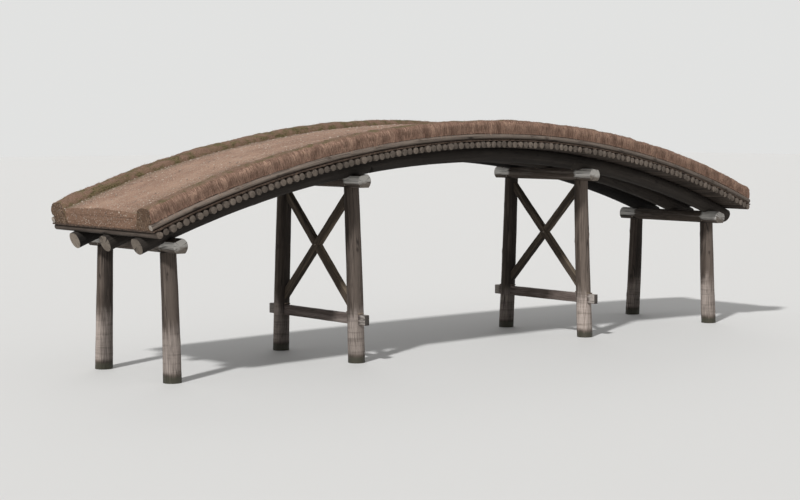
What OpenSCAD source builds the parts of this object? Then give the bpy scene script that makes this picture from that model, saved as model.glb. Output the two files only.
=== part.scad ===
// Earth-covered arched footbridge of round timber. Millimetres, +Z up.
// The origin is on the water, midway between the banks. +X runs along the bridge and the near side is -Y.
// Angles along the arch are measured from the crown, positive towards +X.

/* [Arch] */
// Radius of the arch, measured to the hewn tops of the girders
arch_radius = 14100; // [12800:100:16500]
// Height of the girder tops above the water, at the crown
crown_height = 2670; // [2450:10:3000]
// Level distance from the crown to each end of the bridge
half_length = 5200; // [5050:50:5600]

/* [Girders] */
// Diameter of a girder log
girder_d = 210; // [190:5:240]
// Depth hewn off the top of a girder to carry the deck logs
girder_hewn = 15; // [8:1:25]
// Depth of the flat seat cut in a girder where it lies on a cap beam
girder_seat = 25; // [15:1:35]
// Length of the half-lap joint between two girder logs
lap_length = 520; // [400:20:700]

/* [Bents] */
// Distance of each river bent from the crown
river_bent_x = 2050; // [1800:50:2400]
// Distance of each bank bent from the end of the bridge
bank_setback = 450; // [400:25:700]
// Distance between the heads of the two posts of a bent
head_spacing = 1400; // [1300:20:1560]
// Outward lean of the posts, in millimetres for each metre of height
batter = 45; // [20:5:70]
// Diameter of a post at its foot
post_foot_d = 215; // [200:5:240]
// Diameter of a post at its head
post_head_d = 190; // [175:5:198]

/* [Cap beams] */
// Diameter of a cap beam log
cap_d = 200; // [190:5:225]
// How far a cap beam runs past the axis of each post head
cap_overhang = 270; // [230:10:340]
// Distance from the middle of a cap beam to each of its two hewn faces
cap_flat = 78; // [70:1:86]
// Side of the square tenon on the head of a post
tenon_side = 65; // [50:1:80]
// Height of that tenon
tenon_height = 60; // [40:5:70]

/* [Ties and braces] */
// Height of the underside of a tie beam above the water
tie_bottom = 480; // [400:10:620]
// Height of a tie beam
tie_height = 130; // [100:5:160]
// Thickness of a tie beam
tie_thickness = 72; // [55:1:90]
// How far a tie beam runs past the axis of each post
tie_overhang = 235; // [200:5:300]
// Thickness of each pair of folding wedges above a tie beam
wedge_height = 26; // [18:1:36]
// Taper of a wedge from its head to its tip
wedge_taper = 8; // [5:1:11]
// How far the head of a wedge stands out from its post
wedge_head = 30; // [15:1:45]
// Width of a brace in the plane of its bent
brace_width = 100; // [80:5:110]
// Thickness of a brace across the plane of its bent
brace_thickness = 72; // [60:2:84]
// Height of the brace foot above the tie beam, at the axis of the post
brace_foot_rise = 45; // [40:5:120]
// Drop of the brace head below the cap beam, at the axis of the post
brace_head_drop = 40; // [30:5:120]
// Depth of the housing that a brace has in a post
brace_housing = 35; // [20:5:50]

/* [Deck] */
// Diameter of a deck log
deck_log_d = 90; // [75:5:110]
// Space between two deck logs
deck_log_gap = 5; // [3:1:10]
// Mean length of a deck log, across the bridge
deck_width = 2340; // [2260:20:2380]
// How far the end of a deck log may stray from that length
deck_log_stray = 18; // [0:2:24]
// How much thinner than that diameter a deck log may be
deck_log_spread = 9; // [0:1:14]
// Thickness of the bark sheet on the deck logs
bark_thickness = 14; // [8:1:20]
// Distance of the bark's edge from the mean end of the deck logs
bark_inset = 24; // [20:2:40]
// Diameter of the pole that holds the earth along each edge
edge_pole_d = 78; // [65:1:95]
// Distance of the pole's outer side from the mean end of the deck logs
edge_pole_inset = 32; // [28:2:50]

/* [Earth cover] */
// Width of the turf shoulder along each edge, at its top
turf_width = 260; // [230:10:340]
// Height of the turf shoulder above the bark
turf_height = 255; // [220:5:290]
// Radius of the turf's outer shoulder
turf_outer_r = 75; // [50:5:90]
// Radius of the turf's inner shoulder
turf_inner_r = 110; // [80:5:130]
// Thickness of the earth against the turf
earth_edge = 175; // [150:5:195]
// Thickness of the earth along the middle of the path
earth_crown = 215; // [190:5:245]
// Slope of the face between turf and earth, inward for each unit of height
turf_slope = 0.35; // [0.2:0.05:0.5]

/* [Clearances] */
// Clearance where a curved face lies on another piece
seat_gap = 0.3; // [0.2:0.1:0.5]
// Clearance around a tenon, a tie and a brace in the timber that takes them
joint_gap = 1; // [0.5:0.5:2]

/* [Hidden] */
// Facets of a full turn for a log, and for the long arch
$fn = 72;
ARCH_FN = 720;
// Seeds of the strays of the deck logs in length and in thickness
STRAY_SEED = 11;
SPREAD_SEED = 23;
// Overshoot of cutting bodies past the faces that they cut
PAST = 400;
// Depth by which a tenon is rooted in the head of its post
TENON_ROOT = 1;
// Steps in each rounded shoulder of the turf
TURF_STEPS = 6;
// Steps in the crowned top of the earth
EARTH_STEPS = 8;

SIDES = [["near", -1], ["far", 1]];
ENDS = [["left", -1], ["right", 1]];
LINES = [["near", -1], ["middle", 0], ["far", 1]];

// The arch
arch_z = crown_height - arch_radius;
girder_depth = girder_d - girder_hewn;
girder_mid_r = arch_radius + girder_hewn - girder_d / 2;
girder_lap_r = arch_radius - girder_depth / 2;
cap_mid_r = arch_radius - girder_depth + girder_seat - cap_flat;
bank_bent_x = half_length - bank_setback;
end_angle = asin(half_length / arch_radius);
river_angle = asin(river_bent_x / cap_mid_r);
bank_angle = asin(bank_bent_x / cap_mid_r);
lap_half_angle = asin(lap_length / 2 / arch_radius);
lap_play_angle = asin(joint_gap / arch_radius);
lap_inner_angle = river_angle - lap_half_angle;
lap_outer_angle = river_angle + lap_half_angle;
girder_y = head_spacing / 2;

// The bents
river_cap_z = arch_z + cap_mid_r * cos(river_angle);
bank_cap_z = arch_z + cap_mid_r * cos(bank_angle);
river_head_z = river_cap_z - cap_flat;
bank_head_z = bank_cap_z - cap_flat;
lean = batter / 1000;
lean_angle = atan(lean);
seat_half_width = sqrt(pow(cap_d / 2, 2) - pow(cap_flat - girder_seat, 2)) + 2 * joint_gap;
cap_length = head_spacing + 2 * cap_overhang;
tie_top = tie_bottom + tie_height;
tie_length = 2 * (post_y(river_head_z, (tie_bottom + tie_top) / 2) + tie_overhang);

// The deck and its cover
log_mid_r = arch_radius + seat_gap + deck_log_d / 2;
bark_r = arch_radius + deck_log_d + 2 * seat_gap;
log_pitch_angle = 2 * asin((deck_log_d + deck_log_gap) / 2 / log_mid_r);
logs_each_way = floor(end_angle / log_pitch_angle);
logs_to_bent = floor(river_angle / log_pitch_angle);
cover_angle = logs_each_way * log_pitch_angle;
cover_r = bark_r + bark_thickness;
pole_y = deck_width / 2 - edge_pole_inset - edge_pole_d / 2;
pole_mid_r = cover_r + seat_gap + edge_pole_d / 2;
turf_outer_y = pole_y + edge_pole_d / 4;
turf_inner_y = turf_outer_y - turf_width;
turf_face_gap = seat_gap / cos(atan(turf_slope));

// Distance of a post's axis from the middle of the bridge, at a height in a bent whose heads are at head_z
function post_y(head_z, z) = head_spacing / 2 + lean * (head_z - z);

// Radius of a post at a height
function post_r(head_z, z) = (post_foot_d + (post_head_d - post_foot_d) * z / head_z) / 2;

// Points of an arc about a centre, from one angle to another
function arc_points(centre, r, from, to, steps) =
    [for (i = [0:steps]) centre + r * [cos(from + (to - from) * i / steps), sin(from + (to - from) * i / steps)]];

// Sweeps a section along the arch from one angle to another, right of the crown.
// The section's X is the distance from the arch's centre and its Y is the distance from the middle, to the far side.
module sweep(from, to) {
    translate([0, 0, arch_z])
        rotate([0, -90, -90])
            rotate_extrude(start = from, angle = to - from, $fn = ARCH_FN)
                children();
}

// Sweeps a section along the arch to the same angle on both sides of the crown
module sweep_both_ways(to) {
    for (e = ENDS)
        at_end(e[1])
            sweep(0, to)
                children();
}

// Places children at an angle along the arch, with their Z pointing out of it
module at_arch(angle, r) {
    translate([r * sin(angle), 0, arch_z + r * cos(angle)])
        rotate([0, angle, 0])
            children();
}

// Mirrors children to the left end, or leaves them at the right end
module at_end(end) {
    if (end < 0) mirror([1, 0, 0]) children();
    else children();
}

// Section of a girder log on one of the three lines, between two radii
module girder_section(side, low, high) {
    intersection() {
        translate([girder_mid_r, side * girder_y]) circle(d = girder_d);
        translate([low, side * girder_y - girder_d]) square([high - low, 2 * girder_d]);
    }
}

// Body that cuts the flat seat of a girder over a cap beam
module seat_cutter(angle, side) {
    at_arch(angle, cap_mid_r + cap_flat)
        translate([-seat_half_width, side * girder_y - girder_d, -PAST])
            cube([2 * seat_half_width, 2 * girder_d, PAST]);
}

// Girder log of the middle span, with the upper halves of both lap joints
module girder_crown(side) {
    color("dimgray")
        for (e = ENDS)
            at_end(e[1]) {
                sweep(0, lap_inner_angle) girder_section(side, 0, arch_radius);
                sweep(lap_inner_angle, lap_outer_angle) girder_section(side, girder_lap_r + seat_gap, arch_radius);
            }
}

// Girder log of a side span, with the lower half of one lap joint and the seats on two cap beams
module girder_side(end, side) {
    shoulder = lap_outer_angle + lap_play_angle;
    color("dimgray")
        at_end(end)
            difference() {
                union() {
                    sweep(shoulder, lap_inner_angle + lap_play_angle) girder_section(side, 0, girder_lap_r);
                    sweep(shoulder, end_angle) girder_section(side, 0, arch_radius);
                }
                seat_cutter(river_angle, side);
                seat_cutter(bank_angle, side);
            }
}

// Cap beam log with a level face on the posts and a face square to the arch under the girders
module cap_beam(end, angle, head_z) {
    color("slategray")
        at_end(end)
            difference() {
                at_arch(angle, cap_mid_r)
                    rotate([90, 0, 0])
                        cylinder(d = cap_d, h = cap_length, center = true);
                at_arch(angle, cap_mid_r + cap_flat)
                    translate([-cap_d, -cap_length, 0])
                        cube([2 * cap_d, 2 * cap_length, PAST]);
                translate([cap_mid_r * sin(angle) - cap_d, -cap_length, head_z - PAST])
                    cube([2 * cap_d, 2 * cap_length, PAST]);
                for (s = SIDES)
                    tenon(cap_mid_r * sin(angle), s[1] * head_spacing / 2, head_z, joint_gap);
            }
}

// Tenon on the head of a post, or its mortise where play is given
module tenon(x, y, head_z, play) {
    side = tenon_side + 2 * play;
    translate([x - side / 2, y - side / 2, head_z - TENON_ROOT])
        cube([side, side, tenon_height + play + TENON_ROOT]);
}

// Tapered round log that leans in to its head, cut level at the water and under the cap beam
module leaning_log(x, side, head_z) {
    slant = head_z / cos(lean_angle);
    taper = (post_foot_d - post_head_d) / 2 / slant;
    intersection() {
        translate([x, side * post_y(head_z, 0), 0])
            rotate([side * lean_angle, 0, 0])
                translate([0, 0, -PAST])
                    cylinder(
                        r1 = post_foot_d / 2 + taper * PAST,
                        r2 = post_head_d / 2 - taper * PAST,
                        h = slant + 2 * PAST
                    );
        translate([x - post_foot_d, side * post_y(head_z, 0) - 2 * post_foot_d, 0])
            cube([2 * post_foot_d, 4 * post_foot_d, head_z]);
    }
}

// Post of a river bent, with the mortise of the tie beam and the housings of two braces
module river_post(end, side) {
    color("darkgray")
        at_end(end)
            difference() {
                union() {
                    leaning_log(river_bent_x, side, river_head_z);
                    tenon(river_bent_x, side * head_spacing / 2, river_head_z, 0);
                }
                translate([river_bent_x - tie_thickness / 2 - joint_gap, -tie_length, tie_bottom])
                    cube([tie_thickness + 2 * joint_gap, 2 * tie_length, tie_height + wedge_height]);
                for (s = SIDES)
                    brace_bar(s[1], joint_gap);
            }
}

// Post of a bank bent
module bank_post(end, side) {
    color("darkgray")
        at_end(end) {
            leaning_log(bank_bent_x, side, bank_head_z);
            tenon(bank_bent_x, side * head_spacing / 2, bank_head_z, 0);
        }
}

// Tie beam through both posts of a river bent
module tie_beam(end) {
    color("gray")
        at_end(end)
            translate([river_bent_x - tie_thickness / 2, -tie_length / 2, tie_bottom])
                cube([tie_thickness, tie_length, tie_height]);
}

// Folding wedges of both posts of a river bent, driven over the tie beam from opposite faces of the post.
// The lower wedge has its head outside the bent and the upper one inside it.
module tie_wedges(end) {
    inner = post_y(river_head_z, tie_top) - post_r(river_head_z, tie_top);
    outer = post_y(river_head_z, tie_top) + post_r(river_head_z, tie_top);
    thin = (wedge_height - wedge_taper) / 2;
    thick = (wedge_height + wedge_taper) / 2;
    lower = [[inner, 0], [outer + wedge_head, 0], [outer + wedge_head, thick], [inner, thin]];
    upper = [
        [inner - wedge_head, thin + seat_gap], [outer, thick + seat_gap],
        [outer, wedge_height], [inner - wedge_head, wedge_height]
    ];
    color("tan")
        at_end(end)
            for (s = SIDES)
                translate([river_bent_x, 0, tie_top])
                    mirror([0, s[1] < 0 ? 1 : 0, 0])
                        rotate([90, 0, 90])
                            linear_extrude(tie_thickness, center = true) {
                                polygon(lower);
                                polygon(upper);
                            }
}

// Brace of a river bent, straight from the foot of one post to the head of the other on the side given.
// The play widens it, for the housings in the posts. Its ends butt against the bottoms of these.
module brace_bar(head_side, play) {
    foot_z = tie_top + brace_foot_rise;
    head_z = river_head_z - brace_head_drop;
    foot_y = -post_y(river_head_z, foot_z);
    head_y = post_y(river_head_z, head_z);
    width = brace_width + 2 * play;
    translate([river_bent_x - brace_thickness / 2 - play, 0, 0])
        rotate([90, 0, 90])
            linear_extrude(brace_thickness + 2 * play)
                intersection() {
                    mirror([head_side < 0 ? 1 : 0, 0])
                        translate([foot_y, foot_z])
                            rotate(atan2(head_z - foot_z, head_y - foot_y))
                                translate([0, -width / 2])
                                    square([norm([head_y - foot_y, head_z - foot_z]), width]);
                    polygon([
                        [-housing_y(0), 0], [housing_y(0), 0],
                        [housing_y(river_head_z), river_head_z], [-housing_y(river_head_z), river_head_z]
                    ]);
                }
}

// Distance of the bottom of a brace housing from the middle of the bridge, at a height
function housing_y(z) = post_y(river_head_z, z) - post_r(river_head_z, z) + brace_housing;

// Brace with the half of its thickness cut away where the other brace crosses it
module brace(end, head_side) {
    color("dimgray")
        at_end(end)
            difference() {
                brace_bar(head_side, 0);
                intersection() {
                    brace_bar(-head_side, joint_gap);
                    translate([head_side > 0 ? river_bent_x : river_bent_x - PAST, -PAST, 0])
                        cube([PAST, 2 * PAST, crown_height]);
                }
            }
}

// Deck logs across the girders, from one place in the row to another, counted from the crown
module deck_logs(end, first, last) {
    strays = rands(-1, 1, 2 * logs_each_way, STRAY_SEED + end);
    thinner = rands(0, deck_log_spread, logs_each_way, SPREAD_SEED + end);
    color("rosybrown")
        for (i = [first:last]) {
            d = deck_log_d - thinner[i];
            near_end = deck_width / 2 + deck_log_stray * strays[2 * i];
            far_end = deck_width / 2 + deck_log_stray * strays[2 * i + 1];
            at_arch(end * (i + 0.5) * log_pitch_angle, arch_radius + seat_gap + d / 2)
                translate([0, far_end, 0])
                    rotate([90, 0, 0])
                        cylinder(d = d, h = near_end + far_end);
        }
}

// Sheet of bark that keeps the earth from falling between the deck logs
module bark_bed() {
    width = deck_width - 2 * bark_inset;
    color("saddlebrown")
        sweep_both_ways(cover_angle)
            translate([bark_r, -width / 2])
                square([bark_thickness, width]);
}

// Pole that holds the earth along one edge
module edge_pole(side) {
    color("burlywood")
        sweep_both_ways(cover_angle)
            translate([pole_mid_r, side * pole_y])
                circle(d = edge_pole_d);
}

// Distance of the face between turf and earth from the middle of the bridge, at a height above the bark
function turf_face_y(height) = turf_inner_y - turf_slope * (turf_height - height);

// Outline of a turf shoulder: X is the height above the bark and Y the distance from the middle
function turf_outline() =
    let (
        outer = [turf_height - turf_outer_r, turf_outer_y - turf_outer_r],
        inner_rise = turf_inner_r * (norm([1, turf_slope]) - turf_slope),
        inner = [turf_height - turf_inner_r, turf_inner_y + inner_rise]
    )
    concat(
        [[0, turf_face_y(0)], [0, pole_y], [edge_pole_d, turf_outer_y]],
        arc_points(outer, turf_outer_r, 90, 0, TURF_STEPS),
        arc_points(inner, turf_inner_r, 0, atan(turf_slope) - 90, TURF_STEPS)
    );

// Turf shoulder along one edge, bedded against and over the pole
module turf_edge(side) {
    color("olive")
        sweep_both_ways(cover_angle)
            mirror([0, side < 0 ? 1 : 0])
                difference() {
                    translate([cover_r + seat_gap, 0]) polygon(turf_outline());
                    translate([pole_mid_r, pole_y]) circle(d = edge_pole_d + 2 * seat_gap);
                }
}

// Outline of the beaten earth between the turf shoulders, with a crowned top
function earth_outline() =
    let (
        foot = turf_face_y(0) - turf_face_gap,
        edge = turf_face_y(earth_edge) - turf_face_gap,
        shares = [for (i = [-EARTH_STEPS:EARTH_STEPS]) i / EARTH_STEPS]
    )
    concat(
        [[0, foot], [0, -foot]],
        [for (t = shares) [earth_edge + (earth_crown - earth_edge) * (1 - t * t), t * edge]]
    );

// Beaten earth and gravel of the path
module earth_path() {
    color("peru")
        sweep_both_ways(cover_angle)
            translate([cover_r + seat_gap, 0])
                polygon(earth_outline());
}

for (e = ENDS, s = SIDES) {
    river_post(e[1], s[1]);
    bank_post(e[1], s[1]);
    brace(e[1], s[1]);
}
for (e = ENDS) {
    cap_beam(e[1], river_angle, river_head_z);
    cap_beam(e[1], bank_angle, bank_head_z);
    tie_beam(e[1]);
    tie_wedges(e[1]);
}
for (l = LINES) {
    girder_crown(l[1]);
    for (e = ENDS)
        girder_side(e[1], l[1]);
}
deck_logs(-1, logs_to_bent, logs_each_way - 1);  // deck_logs_left
union() {  // deck_logs_crown
    deck_logs(-1, 0, logs_to_bent - 1);
    deck_logs(1, 0, logs_to_bent - 1);
}
deck_logs(1, logs_to_bent, logs_each_way - 1);  // deck_logs_right
bark_bed();
for (s = SIDES) {
    edge_pole(s[1]);
    turf_edge(s[1]);
}
earth_path();
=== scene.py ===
# Looks of an earth-covered arched footbridge of round timber. Metres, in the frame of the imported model.
import math
import random
from itertools import product

import bmesh
import bpy
from mathutils import Matrix, Vector
from mathutils.bvhtree import BVHTree
from mathutils.noise import noise


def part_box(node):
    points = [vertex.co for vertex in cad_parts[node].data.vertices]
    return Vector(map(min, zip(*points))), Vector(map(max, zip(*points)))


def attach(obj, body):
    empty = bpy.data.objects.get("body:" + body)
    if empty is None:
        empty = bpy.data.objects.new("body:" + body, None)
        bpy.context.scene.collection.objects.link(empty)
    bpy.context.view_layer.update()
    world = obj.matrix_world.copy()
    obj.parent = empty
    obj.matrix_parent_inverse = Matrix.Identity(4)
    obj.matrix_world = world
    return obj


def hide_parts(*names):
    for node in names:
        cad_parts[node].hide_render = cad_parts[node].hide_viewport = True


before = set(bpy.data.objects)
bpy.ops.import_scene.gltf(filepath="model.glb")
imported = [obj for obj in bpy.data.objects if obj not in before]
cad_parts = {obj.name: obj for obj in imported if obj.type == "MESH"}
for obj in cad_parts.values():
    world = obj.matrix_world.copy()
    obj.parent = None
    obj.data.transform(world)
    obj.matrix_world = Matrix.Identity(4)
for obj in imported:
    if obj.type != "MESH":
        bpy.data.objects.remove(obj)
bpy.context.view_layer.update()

SIDES = {"near": -1, "far": 1}
ENDS = {"left": -1, "right": 1}
LINES = ("near", "middle", "far")
BENTS = ("river", "bank")
ACROSS = Vector((0, 1, 0))

# Not given by the frame: the depth hewn off a girder, the height of a cap beam's flat above its middle,
# the roundings, width and slope of the turf, and the thickness of the earth beside it
GIRDER_HEWN = 0.015
CAP_FLAT = 0.078
TURF_OUTER_R, TURF_INNER_R = 0.075, 0.11
TURF_WIDTH, TURF_SLOPE = 0.26, 0.35
EARTH_EDGE = 0.175

# Sides of a log and spacing of its rings of points
POST_SIDES, POST_RING = 48, 0.028
BEAM_SIDES, BEAM_RING = 40, 0.04
DECK_SIDES, DECK_RINGS = 20, 9


# Reading the frame

# How close two points have to be to count as one, and as level
WELD = 0.00005
LEVEL = 0.0005


def points_of(node):
    return [v.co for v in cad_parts[node].data.vertices]


def corners(points):
    """The low and the high corner of the box round some points."""
    return [Vector(pick(p[axis] for p in points) for axis in range(3)) for pick in (min, max)]


def slice_of(node, height):
    """The middle and the radius of a CAD node's outline at a height."""
    low, high = corners([p for p in points_of(node) if abs(p.z - height) < LEVEL])
    return Vector(((low.x + high.x) / 2, (low.y + high.y) / 2, height)), (high.x - low.x) / 2


def clamped(share):
    return min(1, max(0, share))


# The arch, from the upper face of the bark sheet, which is a plain arc

bark_points = points_of("bark_bed")
bark_tip = max(bark_points, key=lambda p: p.x)
bark_crown = max(p.z for p in bark_points)
bark_drop = bark_crown - bark_tip.z
BARK_RADIUS = (bark_tip.x**2 + bark_drop**2) / (2 * bark_drop)
ARCH_Z = bark_crown - BARK_RADIUS
COVER_ANGLE = math.atan2(bark_tip.x, bark_tip.z - ARCH_Z)


def on_arch(angle, radius, y):
    """The point at an angle from the crown, a radius of the arch and a place across the bridge."""
    return Vector((radius * math.sin(angle), y, ARCH_Z + radius * math.cos(angle)))


def arch_angle(point):
    return math.atan2(point.x, point.z - ARCH_Z)


def inwards(point):
    """The way from a point to the centre line of the arch."""
    return (Vector((0, 0, ARCH_Z)) - Vector((point.x, 0, point.z))).normalized()


# Turning a bmesh into a piece of the bridge


def new_mesh():
    """A bmesh with the layers that the finishes read: place in the log, depth of a knot together with painted
    shade inside drying checks, and tone.
    """
    bm = bmesh.new()
    layers = {
        "grain": bm.verts.layers.float_vector.new("grain"),
        "knot": bm.verts.layers.float.new("knot"),
        "tone": bm.verts.layers.float.new("tone"),
    }
    return bm, layers


def welded(node):
    """A CAD node as one closed mesh, with the same layers."""
    bm, layers = new_mesh()
    bm.from_mesh(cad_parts[node].data)
    bmesh.ops.remove_doubles(bm, verts=bm.verts[:], dist=WELD)
    return bm, layers


def rounded(bm, edges, by):
    return bmesh.ops.bevel(bm, geom=edges, offset=by, segments=2, profile=0.5, affect="EDGES", material=-1)


def cut(bm, point, normal, clear=False):
    """Cuts a mesh along a plane, and with clear takes away what lies past it."""
    everything = bm.verts[:] + bm.edges[:] + bm.faces[:]
    return bmesh.ops.bisect_plane(bm, geom=everything, plane_co=point, plane_no=normal, clear_outer=clear)


def as_mesh(name, bm):
    mesh = bpy.data.meshes.new(name)
    bm.to_mesh(mesh)
    bm.free()
    return mesh


def placed(name, data):
    """A new object of a mesh, a lamp or a lens, in the scene."""
    thing = bpy.data.objects.new(name, data)
    bpy.context.scene.collection.objects.link(thing)
    return thing


def finish_piece(name, bm, finishes, nodes, smooth_angle=35):
    """Makes an object of a bmesh, gives it its finishes and lets it stand for CAD nodes."""
    bmesh.ops.recalc_face_normals(bm, faces=bm.faces[:])
    mesh = as_mesh(name, bm)
    for finish in finishes:
        mesh.materials.append(finish)
    mesh.shade_smooth()
    mesh.set_sharp_from_angle(angle=math.radians(smooth_angle))
    piece = placed(name, mesh)
    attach(piece, "root")
    if nodes:
        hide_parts(*nodes)


def joined(parts):
    """One bmesh made of many small ones."""
    whole = new_mesh()[0]
    for part in parts:
        mesh = as_mesh("part", part)
        whole.from_mesh(mesh)
        bpy.data.meshes.remove(mesh)
    return whole


# Logs

# From least to most: where a drying check starts and its length, as shares of the log, and half its width
CHECK_SPANS = (0.05, 0.6), (0.15, 0.35), (0.0014, 0.003)
# How far a check strays sideways, how many half widths it is deep, and the depth at which painted shade
# darkens its sides fully
CHECK_WANDER, CHECK_DEPTH, CHECK_SHADE_DEPTH = 0.004, 5, 0.005
# From least to most: a knot's place round the log and along it, and its size
KNOT_SPANS = (-math.pi, math.pi), (0.08, 0.92), (0.016, 0.03)
KNOT_SWELL = 0.055


class Log:
    """A round log, whose lumps, knots and drying checks come from one seed. Its bow is how far it bends, its
    rim how much its end edges are worn, and its twist how far its grain turns in a metre."""

    def __init__(
        self, seed, length, low_r, high_r, sides, rings,
        lump=0.02, knots=0, bow=0.0, rim=0.005, checks=0, twist=0.0
    ):
        self.length, self.low_r, self.high_r = length, low_r, high_r
        self.sides, self.rings = sides, rings
        self.lump, self.bow, self.rim, self.twist = lump, bow, rim, twist
        chance = random.Random(seed)
        self.shift = Vector(chance.uniform(-50, 50) for _ in range(3))
        self.tone = chance.random()
        self.bow_turn = chance.uniform(0, math.tau)
        self.knots = [[chance.uniform(*span) for span in KNOT_SPANS] for _ in range(knots)]
        self.checks = [
            (chance.randrange(sides), *(chance.uniform(*span) for span in CHECK_SPANS)) for _ in range(checks)
        ]

    def knot_at(self, around, along, radius):
        """How much of a knot a place on the skin has, from 0 to 1."""
        most = 0.0
        for knot_around, share, size in self.knots:
            turn = math.remainder(around - knot_around, math.tau) * radius
            away = math.hypot(turn, (along - share * self.length) * 0.6) / size
            most = max(most, math.exp(-away * away))
        return most

    def made(self, place, stations=None):
        """The log as a bmesh. Its own Z runs along it, and place() takes a local point to its place."""
        bm, layers = new_mesh()
        bmesh.ops.create_cone(
            bm, cap_ends=True, segments=self.sides, radius1=self.low_r, radius2=self.high_r, depth=self.length
        )
        for face in bm.faces:
            face.material_index = int(len(face.verts) == self.sides)
        staves = [e for e in bm.edges if abs(e.verts[0].co.z - e.verts[1].co.z) > self.length / 2]
        arrises = [e for e in bm.edges if e not in staves]
        bmesh.ops.subdivide_edges(bm, edges=staves, cuts=self.rings, use_grid_fill=True)
        for check in self.checks:
            self.open_check(bm, *check)
        if self.rim:
            rounded(bm, arrises, self.rim)
        for v in bm.verts:
            self.shape(v, layers, place, stations)
        return bm

    def open_check(self, bm, stave, start, share, half):
        """Opens a drying check: edges along a stave become a groove that tapers towards its ends."""
        turn = math.tau * stave / self.sides

        def aside(v):
            return math.remainder(math.atan2(v.co.y, v.co.x) - turn, math.tau)

        low, high = (start - 0.5) * self.length, (start + share - 0.5) * self.length
        line = [v for v in bm.verts if low <= v.co.z <= high and abs(aside(v)) < 0.001]
        low, high = min(v.co.z for v in line), max(v.co.z for v in line)
        run = [
            e for v in line for e in v.link_edges if e.other_vert(v) in line and e.other_vert(v).co.z > v.co.z
        ]
        groove = rounded(bm, run, half)["verts"]
        for v in groove:
            radius = math.hypot(v.co.x, v.co.y)
            opening = math.sqrt(math.sin(math.pi * clamped((v.co.z - low) / (high - low))))
            wander = CHECK_WANDER * noise(self.shift + Vector((0, 0, v.co.z * 7))) / radius
            angle = turn + aside(v) * opening + wander
            at_bottom = abs(aside(v)) < 0.3 * half / radius
            if at_bottom:
                radius -= CHECK_DEPTH * half * opening
            v.co.x, v.co.y = radius * math.cos(angle), radius * math.sin(angle)
        bmesh.ops.remove_doubles(bm, verts=groove, dist=0.0003)

    def shape(self, v, layers, place, stations):
        """Gives a point its lumps, knot, bow and twist, writes its layers, and takes it to its place."""
        along = v.co.z + self.length / 2
        if stations:
            along = stations[round(along / self.length * (self.rings + 1))]
        x, y = v.co.x, v.co.y
        around, radius = math.atan2(y, x), math.hypot(x, y)
        knot = self.knot_at(around, along, radius)
        skin = self.low_r + (self.high_r - self.low_r) * along / self.length
        inner = bool(self.checks) and 2 * self.rim < along < self.length - 2 * self.rim
        # Painted shade inside a drying check: the deeper below the skin, the darker, kept in the knot layer
        shade = clamped((skin - radius) / CHECK_SHADE_DEPTH) if inner else 0
        roam = Vector((1.1 * math.cos(around), 1.1 * math.sin(around), along * 1.7)) + self.shift
        swell = 1 + self.lump * (noise(roam) + 0.5 * noise(roam * 3.1)) + KNOT_SWELL * knot
        bend = self.bow * math.sin(math.pi * clamped(along / self.length))
        v[layers["grain"]] = (x, y, along + self.shift.z)
        v[layers["knot"]] = max(knot, shade)
        v[layers["tone"]] = self.tone
        turned = around + self.twist * along
        x = radius * math.cos(turned) * swell + bend * math.cos(self.bow_turn)
        y = radius * math.sin(turned) * swell + bend * math.sin(self.bow_turn)
        v.co = place(Vector((x, y, along)))


def hew(bm, point, normal, slot):
    """Cuts off what lies past a plane and closes the cut."""
    rim = [e for e in cut(bm, point, normal, clear=True)["geom_cut"] if isinstance(e, bmesh.types.BMEdge)]
    for face in bmesh.ops.edgeloop_fill(bm, edges=rim)["faces"]:
        face.material_index = slot


# Shader maths


class Value:
    """The output of a shader node, for use in Python expressions."""

    def __init__(self, finish, socket):
        self.finish, self.socket = finish, socket

    def math(self, operation, *others):
        return self.finish.node("Math", {"operation": operation}, dict(enumerate((self, *others))))

    def __add__(self, other):
        return self.math("ADD", other)

    __radd__ = __add__

    def __sub__(self, other):
        return self.math("SUBTRACT", other)

    def __rsub__(self, other):
        return self.finish.node("Math", {"operation": "SUBTRACT"}, {0: other, 1: self})

    def __mul__(self, other):
        return self.math("MULTIPLY", other)

    __rmul__ = __mul__

    def __truediv__(self, other):
        return self.math("DIVIDE", other)

    def step(self, low, high):
        """0 below low, 1 above high, smooth between."""
        values = {"Value": self, "From Min": low, "From Max": high}
        return self.finish.node("MapRange", {"interpolation_type": "SMOOTHSTEP"}, values)


# The sockets of a Mix node that mixes colours
FACTOR, COLOUR_A, COLOUR_B, MIXED = 0, 6, 7, 2


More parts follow.
